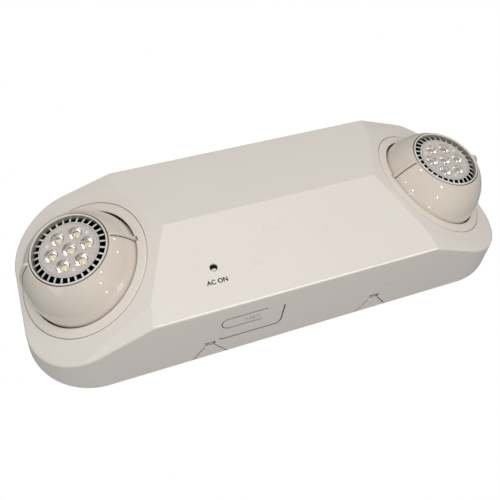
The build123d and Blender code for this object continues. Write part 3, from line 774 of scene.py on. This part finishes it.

# %% [markdown]
# ## Turned rings
# The bezel, the lamp's rim, the lens cups and the lines of painted shade are all rings
# with a fixed profile, as if turned on a lathe. A circle is added at the profile's first
# point, then extruded and resized to each next point, and the last loop is closed onto the
# first one. That keeps the profile as a plain list of radius and height in millimetres.

# %% Turned rings
def turned_ring(name, profile, steps):
    bpy.ops.object.select_all(action="DESELECT")
    first_r, first_z = profile[0]
    bpy.ops.mesh.primitive_circle_add(vertices=steps, radius=first_r * MM, location=(0, 0, first_z * MM))
    bpy.ops.object.transform_apply(location=True)
    ring = bpy.context.object
    ring.name = name
    bpy.ops.object.mode_set(mode="EDIT")
    bpy.ops.mesh.select_mode(type="EDGE")
    bpy.ops.mesh.select_all(action="SELECT")
    for (r0, z0), (r1, z1) in zip(profile, profile[1:] + profile[:1]):
        bpy.ops.mesh.extrude_region_move(TRANSFORM_OT_translate={"value": (0, 0, (z1 - z0) * MM)})
        bpy.ops.transform.resize(value=(r1 / r0, r1 / r0, 1), center_override=(0, 0, z1 * MM))
    bpy.ops.mesh.select_all(action="SELECT")
    bpy.ops.mesh.remove_doubles(threshold=0.002 * MM)
    bpy.ops.mesh.normals_make_consistent(inside=False)
    bpy.ops.object.mode_set(mode="OBJECT")
    bpy.ops.object.shade_smooth_by_angle(angle=math.radians(35))
    return ring


print("ring helper ready")

# %% [markdown]
# ## Bezel
# The ring in front of each lamp is thin and tall: a rounded edge stands up from the ball,
# with a narrow seam round its outside. Inside it a wall slopes down to the lamp's rim,
# darker by painted shade. The CAD ring holds its place; these finer rings have the thin
# edge and the deep wall of the real one, and a third one is painted shade in the seam.

# %% Bezel
RING_STEPS = 160
BEZEL_PROFILE = [
    (26.1, 0.07), (26.1, 1.2), (26.3, 1.72), (26.56, 1.93),
    (26.94, 1.93), (27.2, 1.75), (27.34, 1.4), (27.34, 0.07),
]
WALL_PROFILE = [
    (25.5, -2.7), (25.55, -0.9), (26.02, 0.9), (26.08, 0.9), (26.08, 0.1), (25.78, 0.04), (25.78, -2.7),
]
SEAM_PROFILE = [(27.37, 0.09), (28.15, 0.09), (28.15, 0.55), (27.37, 0.55)]

bezel = turned_ring("bezel", BEZEL_PROFILE, RING_STEPS)
bezel_wall = turned_ring("bezel_wall", WALL_PROFILE, RING_STEPS)
# Painted shade: this seam ring is drawn in the dark seam colour.
bezel_seam_shade = turned_ring("bezel_seam_shade", SEAM_PROFILE, RING_STEPS)
print("bezel is", 2 * max(radius for radius, _ in BEZEL_PROFILE), "mm across")

# %% [markdown]
# ## Cooling fins
# Thirty fins stand round the core and run back to its neck. Their front edges slope back
# from the lens to the rim, so the gaps between them look long and black. One fin starts as
# a box: its bottom is extruded back to the neck and its outer front corner is pulled
# back. The others are copies, turned round the axis.

# %% Cooling fins
FIN_COUNT = 30
FIN_THICK = 1.35
FIN_IN = 21.45
FIN_OUT = 25.35
FIN_FRONT = -0.3
FIN_SLOPE = 1.1
FIN_LOW = -5.2
FIN_FOOT = Vector((-12.3, 0, -23.0))
RIM_PROFILE = [(24.9, -4.1), (25.45, -4.1), (25.45, -2.95), (25.35, -2.8), (25.05, -2.8), (24.9, -2.95)]


def pick_vertices(piece, test):
    bpy.ops.object.mode_set(mode="EDIT")
    bpy.ops.mesh.select_mode(type="VERT")
    bpy.ops.mesh.select_all(action="DESELECT")
    bpy.ops.object.mode_set(mode="OBJECT")
    for vertex in piece.data.vertices:
        vertex.select = test(vertex.co / MM)
    bpy.ops.object.mode_set(mode="EDIT")


bpy.ops.object.select_all(action="DESELECT")
bpy.ops.mesh.primitive_cube_add(
    size=1, location=((FIN_IN + FIN_OUT) / 2 * MM, 0, (FIN_FRONT + FIN_LOW) / 2 * MM),
    scale=((FIN_OUT - FIN_IN) * MM, FIN_THICK * MM, (FIN_FRONT - FIN_LOW) * MM),
)
bpy.ops.object.transform_apply(location=True, scale=True)
fin = bpy.context.object
pick_faces(fin, lambda face: face.normal.z < -0.9)
bpy.ops.mesh.extrude_region_move(TRANSFORM_OT_translate={"value": FIN_FOOT * MM})
pick_vertices(fin, lambda place: place.z > FIN_FRONT - 0.1 and place.x > FIN_OUT - 0.1)
bpy.ops.transform.translate(value=(0, 0, -FIN_SLOPE * MM))
bpy.ops.object.mode_set(mode="OBJECT")
fin_angle = 2 * math.pi / FIN_COUNT
fin_spots = [Matrix.Rotation(fin_angle * (k + 0.5), 4, "Z") for k in range(FIN_COUNT)]
rim = turned_ring("rim", RIM_PROFILE, RING_STEPS)
print(FIN_COUNT, "fins,", FIN_THICK, "mm thick")

# %% [markdown]
# ## Round caps
# Domes, buttons and drops are all low round caps. Each is a sphere cut off at its edge,
# which keeps it truly round, and the radius and rise of the cap give the sphere's size.
# The cut edge stays selected, so that it can be drawn out before the cap is closed.

# %% Round caps
def low_cap(radius, rise, segments, rings):
    # The cap's edge lies in the plane z = 0.
    ball_r = (radius ** 2 + rise ** 2) / (2 * rise)
    bpy.ops.object.select_all(action="DESELECT")
    bpy.ops.mesh.primitive_uv_sphere_add(
        segments=segments, ring_count=rings, radius=ball_r, location=(0, 0, rise - ball_r)
    )
    bpy.ops.object.transform_apply(location=True)
    bpy.ops.object.mode_set(mode="EDIT")
    bpy.ops.mesh.select_all(action="SELECT")
    bpy.ops.mesh.bisect(plane_co=(0, 0, 0), plane_no=(0, 0, 1), clear_inner=True)
    return bpy.context.object


def close_cap():
    # Fill the selected edge and turn every face outwards.
    bpy.ops.mesh.fill()
    bpy.ops.mesh.select_all(action="SELECT")
    bpy.ops.mesh.normals_make_consistent(inside=False)
    bpy.ops.object.mode_set(mode="OBJECT")
    bpy.ops.object.shade_smooth_by_angle(angle=math.radians(40))


print("cap helpers ready")

# %% [markdown]
# ## Lens domes and cups
# Over each chip the lens has a polished dome in front and a cone behind it that gathers
# the light. The dome is a round cap, and its cut edge is drawn back and in to make the
# cone. The grey cup round the cone is a turned ring. On each chip's white package lies a
# low round drop of yellow phosphor. One lens sits in the middle and six stand round it.

# %% Lens domes and cups
DOME_R = 5.05 * MM
DOME_RISE = 1.9 * MM
DOME_PITCH = 12.8 * MM
CONE_END = 0.44
CONE_GAP = 0.45 * MM
DROP_R = 1.05 * MM
DROP_RISE = 0.25 * MM


def spots_round(count, first_degrees, pitch):
    turns = [math.radians(first_degrees + 360 / count * k) for k in range(count)]
    return [Vector((math.cos(turn), math.sin(turn), 0)) * pitch for turn in turns]


cone_deep = lens_to_chip - CONE_GAP
dome = low_cap(DOME_R, DOME_RISE, 48, 64)
bpy.ops.mesh.extrude_region_move(TRANSFORM_OT_translate={"value": (0, 0, -cone_deep)})
bpy.ops.transform.resize(value=(CONE_END, CONE_END, 1), center_override=(0, 0, -cone_deep))
close_cap()

drop = low_cap(DROP_R, DROP_RISE, 24, 64)
close_cap()
drop.data.transform(Matrix.Translation((0, 0, -lens_to_chip)))

cone_z = -cone_deep / MM
cone_r = CONE_END * DOME_R / MM
cup_profile = [
    (5.05, -1.45), (4.25, -1.6), (cone_r + 0.2, cone_z), (cone_r + 0.35, cone_z), (4.4, -1.75), (5.05, -1.6),
]
cup = turned_ring("cup", cup_profile, 48)

dome_spots = [Vector((0, 0, 0))] + spots_round(6, 0, DOME_PITCH)
print("dome is", round(2 * DOME_R / MM, 1), "mm wide with", len(dome.data.polygons), "faces")

# %% [markdown]
# ## Ground lens plate
# The plate round the domes has a raised rim with a fine groove inside it. It starts as a
# disc; insets draw the rim and the groove, and seven holes are cut for the domes with a
# boolean.

# %% Ground lens plate
PLATE_R = 20.6 * MM
PLATE_T = 1.4 * MM
RIM_W = 0.7 * MM
GROOVE_W = 0.35 * MM
GROOVE_D = 0.35 * MM
HOLE_FIT = 0.07 * MM

bpy.ops.object.select_all(action="DESELECT")
bpy.ops.mesh.primitive_cylinder_add(
    vertices=144, radius=PLATE_R, depth=PLATE_T, location=(0, 0, -PLATE_T / 2)
)
bpy.ops.object.transform_apply(location=True)
plate = bpy.context.object
pick_faces(plate, lambda face: face.normal.z > 0.9)
bpy.ops.mesh.inset(thickness=RIM_W / 4, depth=RIM_W / 5)
bpy.ops.mesh.inset(thickness=RIM_W / 2, depth=0)
bpy.ops.mesh.inset(thickness=GROOVE_W, depth=-GROOVE_D - RIM_W / 5)
bpy.ops.mesh.inset(thickness=GROOVE_W, depth=0)
bpy.ops.mesh.inset(thickness=GROOVE_W / 2, depth=GROOVE_D)
bpy.ops.object.mode_set(mode="OBJECT")

holes = []
for spot in dome_spots:
    bpy.ops.object.select_all(action="DESELECT")
    bpy.ops.mesh.primitive_cylinder_add(
        vertices=48, radius=DOME_R + HOLE_FIT, depth=4 * PLATE_T, location=spot
    )
    bpy.ops.object.transform_apply(location=True)
    holes.append(bpy.context.object)
cutter = join(holes, "dome_holes")
select_only(plate)
cut = plate.modifiers.new("dome_holes", "BOOLEAN")
cut.operation = "DIFFERENCE"
cut.object = cutter
bpy.ops.object.modifier_apply(modifier=cut.name)
bpy.data.objects.remove(cutter)
select_only(plate)
bpy.ops.object.shade_smooth_by_angle(angle=math.radians(25))
print("plate has", len(plate.data.polygons), "faces")

# %% [markdown]
# ## Buttons of the lens
# The three feet of the lens show as small polished buttons between the outer domes. Each
# is a sphere cut to a low cap, with its cut edge drawn down into the plate.

# %% Buttons of the lens
BUTTON_R = 1.6 * MM
BUTTON_RISE = 0.6 * MM
BUTTON_PITCH = 16.5 * MM

button = low_cap(BUTTON_R, BUTTON_RISE, 32, 48)
bpy.ops.mesh.extrude_region_move(TRANSFORM_OT_translate={"value": (0, 0, -GROOVE_D)})
close_cap()

button_spots = spots_round(3, 30, BUTTON_PITCH)
print("buttons stand", BUTTON_RISE / MM, "mm proud")

# %% [markdown]
# ## Put the pieces on their lamps
# The lens plate, the bezel and the fins replace their CAD nodes, which stay for
# collisions, hidden. The domes let lamp light through to the cups, as the real plastic
# does, so they cast no shadow.

# %% Put the pieces on their lamps
def shifts(spots):
    return [Matrix.Translation(spot) for spot in spots]


for side in SIDES:
    place = lamp_place[side]
    made = {
        "lens_plate": (plate, [Matrix()], lens_ground, "lens_clear"),
        "lens_domes": (dome, shifts(dome_spots), lens_moulded, "lens_clear"),
        "lens_cups": (cup, shifts(dome_spots), cup_plastic, "lens_clear"),
        "lens_buttons": (button, shifts(button_spots), bezel_plastic, "lens_clear"),
        "phosphor": (drop, shifts(dome_spots), chip_phosphor, "chip_yellow"),
        "bezel_ring": (bezel, [Matrix()], bezel_plastic, "bezel_plastic"),
        "bezel_wall": (bezel_wall, [Matrix()], bezel_shade, "bezel_plastic"),
        "bezel_seam_shade": (bezel_seam_shade, [Matrix()], seam_shade_finish, "bezel_plastic"),
        "fin_rim": (rim, [Matrix()], rim_black, "lamp_metal"),
        "fins": (fin, fin_spots, lamp_black[side], "lamp_metal"),
    }
    placed = {}
    for name, (piece, spots, finish, slot) in made.items():
        copies = [copy_at(piece, f"{name}_{k}", place @ spot) for k, spot in enumerate(spots)]
        placed[name] = join(copies, f"{name}_{side}")
        placed[name].data.materials.append(finish)
        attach(placed[name], f"head_{side}")
    placed["lens_domes"].visible_shadow = False
    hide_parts(f"lamp_lens_{side}")
    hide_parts(f"lamp_bezel_{side}")
    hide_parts(f"lamp_fins_{side}")
for start in (dome, cup, drop, plate, button, bezel, bezel_wall, bezel_seam_shade, fin, rim):
    bpy.data.objects.remove(start)
print("lamp pieces in place")

# %% [markdown]
# ## Painted shade along the ribs
# A rib runs round each eyeball where its two shells meet, and shade falls along both of
# its feet; it is painted there as two dark lines. Each line is a turned ring hardly thicker
# than a film, and it is cut off where the ball ends in front and behind.

# %% Painted shade along the ribs
RIB_HALF = 1.2
LINE_WIDE = 0.6
LINE_PROUD = 0.08
LINE_SUNK = 0.2
END_GAP = 0.1 * MM

for side in SIDES:
    centre = joint_place[f"head_{side}_tilt"]
    lines = []
    for shell, sign in (("lower", -1), ("upper", 1)):
        beside_rib = [
            vertex.co - centre for vertex in nodes[f"eyeball_{shell}_{side}"].data.vertices
            if abs(vertex.co.z - centre.z) > 2 * RIB_HALF * MM
        ]
        ball_r = max(away.length for away in beside_rib) / MM
        print(side, shell, "shell is", round(ball_r, 2), "mm in radius beside the rib")
        foot = sign * RIB_HALF
        edge = foot + sign * LINE_WIDE
        inner, outer = ball_r - LINE_SUNK, ball_r + LINE_PROUD
        profile = [(inner, foot), (outer, foot), (outer, edge), (inner, edge)]
        lines.append(turned_ring("rib_line", profile, RING_STEPS))
    rib_shade_lines = join(lines, f"rib_shade_lines_{side}")
    rib_shade_lines.data.transform(Matrix.Translation(centre))
    axis = lamp_axis(side)
    back, front = reach_along(f"eyeball_upper_{side}", axis)
    select_only(rib_shade_lines)
    bpy.ops.object.mode_set(mode="EDIT")
    bpy.ops.mesh.select_all(action="SELECT")
    bpy.ops.mesh.bisect(plane_co=axis * (front - END_GAP), plane_no=axis, use_fill=True, clear_outer=True)
    bpy.ops.mesh.select_all(action="SELECT")
    bpy.ops.mesh.bisect(plane_co=axis * (back + END_GAP), plane_no=axis, use_fill=True, clear_inner=True)
    bpy.ops.object.mode_set(mode="OBJECT")
    # Painted shade: the lines along the rib's feet take the dark seam colour.
    rib_shade_lines.data.materials.append(seam_shade_finish)
    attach(rib_shade_lines, f"head_{side}")

# %% [markdown]
# ## Making and laying words
# A word starts as text with the stroke width of a plain sans letter, is made a mesh, and
# is scaled to its measured width and height. It is then laid on the CAD surface. A ray
# finds the point, and the surface there says which way the word faces.

# %% Making and laying words
RAY_START = 0.05


def word(text, name, width, height, rise, sink, weight):
    # Letters round the origin, facing +Z, from sink below to rise above the ground.
    bpy.ops.object.select_all(action="DESELECT")
    bpy.ops.object.text_add()
    letters = bpy.context.object
    letters.data.body = text
    letters.data.align_x = "CENTER"
    letters.data.align_y = "CENTER"
    letters.data.extrude = 0.5
    letters.data.resolution_u = 4
    letters.data.offset = weight
    bpy.ops.object.convert(target="MESH")
    letters = bpy.context.object
    letters.name = name
    corners = [Vector(corner) for corner in letters.bound_box]
    low = Vector([min(corner[k] for corner in corners) for k in range(3)])
    high = Vector([max(corner[k] for corner in corners) for k in range(3)])
    letters.data.transform(Matrix.Translation(-(low + high) / 2))
    size = high - low
    letters.data.transform(Matrix.Diagonal((width / size.x, height / size.y, (rise + sink) / size.z, 1)))
    letters.data.transform(Matrix.Translation((0, 0, (rise - sink) / 2)))
    return letters


def surface_place(node, spot, outwards, upwards):
    # Frame on a CAD surface, found by a ray. Its z axis faces outwards.
    hit, point, normal, _ = nodes[node].ray_cast(spot + outwards * RAY_START, -outwards)
    if not hit:
        raise RuntimeError(f"no surface of {node} under the word")
    side_on = upwards.cross(normal).normalized()
    frame_turn = Matrix((side_on, normal.cross(side_on), normal)).transposed()
    return Matrix.Translation(point) @ frame_turn.to_4x4()


print("word helpers ready")

# %% [markdown]
# ## Words on the housing
# AC ON is printed in dark grey ink under the pilot light. Pad-printing ink dries matt and
# even. TEST stands in low relief on the tongue, with painted shade round its letters as a
# dark outline. Ink and the painted shade are films, so they stand only a hair off the
# plastic. The wall that holds the tongue is drafted, so it leans out of level.

# %% Words on the housing
PRINT_AT = Vector((-58.2, -61.4, -48.4)) * MM
TEST_AT = Vector((-37.2, -36.5, -70.5)) * MM
WALL_DRAFT = math.radians(7)

wall_out = Vector((0, -math.sin(WALL_DRAFT), -math.cos(WALL_DRAFT)))
wall_up = Vector((0, -math.cos(WALL_DRAFT), math.sin(WALL_DRAFT)))
print_ink = even_finish(
    "pad_printed_ink", "#2C2827", "#221F1E", 0.5, drift_mm=1.5, relief_mm=0.3, depth_mm=0.002, IOR=1.5,
)

ac_on = word("AC ON", "print_ac_on", 15.2 * MM, 3.5 * MM, rise=0.03 * MM, sink=0.01 * MM, weight=0.03)
print_spot = surface_place("front_cover", PRINT_AT, face_out, face_up)
test = word("TEST", "letters_test", 13.0 * MM, 3.8 * MM, rise=0.22 * MM, sink=0.10 * MM, weight=0.01)
test_spot = surface_place("test_tongue", TEST_AT, wall_out, wall_up)
# Painted shade: a wider TEST in the dark seam colour makes an outline round the letters.
test_outline_shade = word("TEST", "painted_shade_test", 13.3 * MM, 4.1 * MM, rise=0.02 * MM, sink=0.01 * MM, weight=0.038)
for piece, spot, finish, body, slot in (
    (ac_on, print_spot, print_ink, "housing", "switch_plastic"),
    (test, test_spot, housing_plastic, "test_tongue", "housing_plastic"),
    (test_outline_shade, test_spot, seam_shade_finish, "test_tongue", "housing_plastic"),
):
    piece.data.transform(spot)
    piece.data.materials.append(finish)
    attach(piece, body)
    print(piece.name, "laid at, mm:", [round(v / MM, 1) for v in spot.translation])

# %% [markdown]
# ## Painted shade in the seams of the lower wall
# The slot of the tongue, the groove round it and the slits of the tabs lie in shade, which
# is painted on them as dark fine lines. Each one is drawn as a flat curve along the middle
# of its seam, made a mesh and laid on the wall, hardly thicker than a film.
# Points are measured to the right of the middle and up from the wall's back edge.

# %% Painted shade in the seams
FRAME_UP = 25.0
FILM = 0.03
TONGUE_END = (-55.2, 37.2)
TONGUE_R = 5.7
TAB_PLACES = (-70.2, 63.0)

wall_foot = Vector((0, 0, cad_box[0][2]))
wall_frame = surface_place("front_cover", wall_foot + wall_up * FRAME_UP * MM, wall_out, wall_up)


def seam(name, points, width):
    line = bpy.data.curves.new(name, "CURVE")
    line.dimensions = "3D"
    line.bevel_depth = width / 2 * MM
    line.bevel_resolution = 1
    run = line.splines.new("POLY")
    run.points.add(len(points) - 1)
    for spot, (x, u) in zip(run.points, points):
        spot.co = (x * MM, (u - FRAME_UP) * MM, 0, 1)
    seam_line = bpy.data.objects.new(name, line)
    bpy.context.scene.collection.objects.link(seam_line)
    select_only(seam_line)
    bpy.ops.object.convert(target="MESH")
    seam_line = bpy.context.object
    seam_line.data.transform(wall_frame @ Matrix.Diagonal((1, 1, FILM / (width / 2), 1)))
    return seam_line


tongue_round = []
for degrees in range(90, 271, 15):
    angle = math.radians(degrees)
    tongue_round.append(
        (TONGUE_END[0] + TONGUE_R * math.cos(angle), TONGUE_END[1] + TONGUE_R * math.sin(angle))
    )
groove = [(-63, 20.2), (-60.5, 18.7), (-18.5, 18.7), (-16, 21), (-15.2, 24), (-13.4, 41.7)]
seams = [
    seam("seam_tongue", [(-27, 42.9)] + tongue_round + [(-31, 31.5)], 0.8),
    seam("seam_groove", groove, 1.15),
]
for tab_x in TAB_PLACES:
    for sign in (-1, 1):
        slit = [(tab_x + sign * 13.3, 0.3), (tab_x + sign * 3.9, 13.8)]
        seams.append(seam(f"seam_tab_{len(seams)}", slit, 0.6))
    tab_top = [(tab_x - 3.8, 18.35), (tab_x + 3.8, 18.35), (tab_x + 3.85, 16)]
    seams.append(seam(f"seam_tab_{len(seams)}", tab_top, 0.9))
    seams.append(seam(f"seam_tab_{len(seams)}", [(tab_x - 3.9, 15.7), (tab_x + 3.9, 15.7)], 0.6))
shade_lines_on_wall = join(seams, "painted_shade_in_seams")
# Painted shade: the seam lines take the dark seam colour.
shade_lines_on_wall.data.materials.append(seam_shade_finish)
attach(shade_lines_on_wall, "housing")
print("painted shade laid in", len(seams), "seams")

# %% [markdown]
# ## Painted shade round the light pipe
# The narrow gap between the light pipe and the edge of its hole lies in shade, painted as
# a dark ring that draws a fine outline round the pilot light. A turned ring fills it, a
# little behind the face.

# %% Painted shade round the light pipe
PIPE_EDGE = 2.5
HOLE_EDGE = 2.88
SHADE_DEEP = 0.8
BEHIND_FACE = 0.95 * MM
BESIDE_HOLE = Vector((-4, 0, 0)) * MM

pilot = middle("pilot_light_pipe")
beside = surface_place("front_cover", pilot + BESIDE_HOLE, Vector((0, -1, 0)), Vector((0, 0, 1)))
shade_ring_profile = [(PIPE_EDGE, -SHADE_DEEP), (HOLE_EDGE, -SHADE_DEEP), (HOLE_EDGE, 0), (PIPE_EDGE, 0)]
pilot_shade_ring = turned_ring("pilot_shade_ring", shade_ring_profile, 48)
pilot_shade_ring.data.transform(Matrix.Rotation(math.radians(90), 4, "X"))
pilot_shade_ring.data.transform(Matrix.Translation((pilot.x, beside.translation.y + BEHIND_FACE, pilot.z)))
# Painted shade: the ring round the pipe takes the dark seam colour.
pilot_shade_ring.data.materials.append(seam_shade_finish)
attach(pilot_shade_ring, "housing")
print("face beside the pilot light at y =", round(beside.translation.y / MM, 2), "mm")
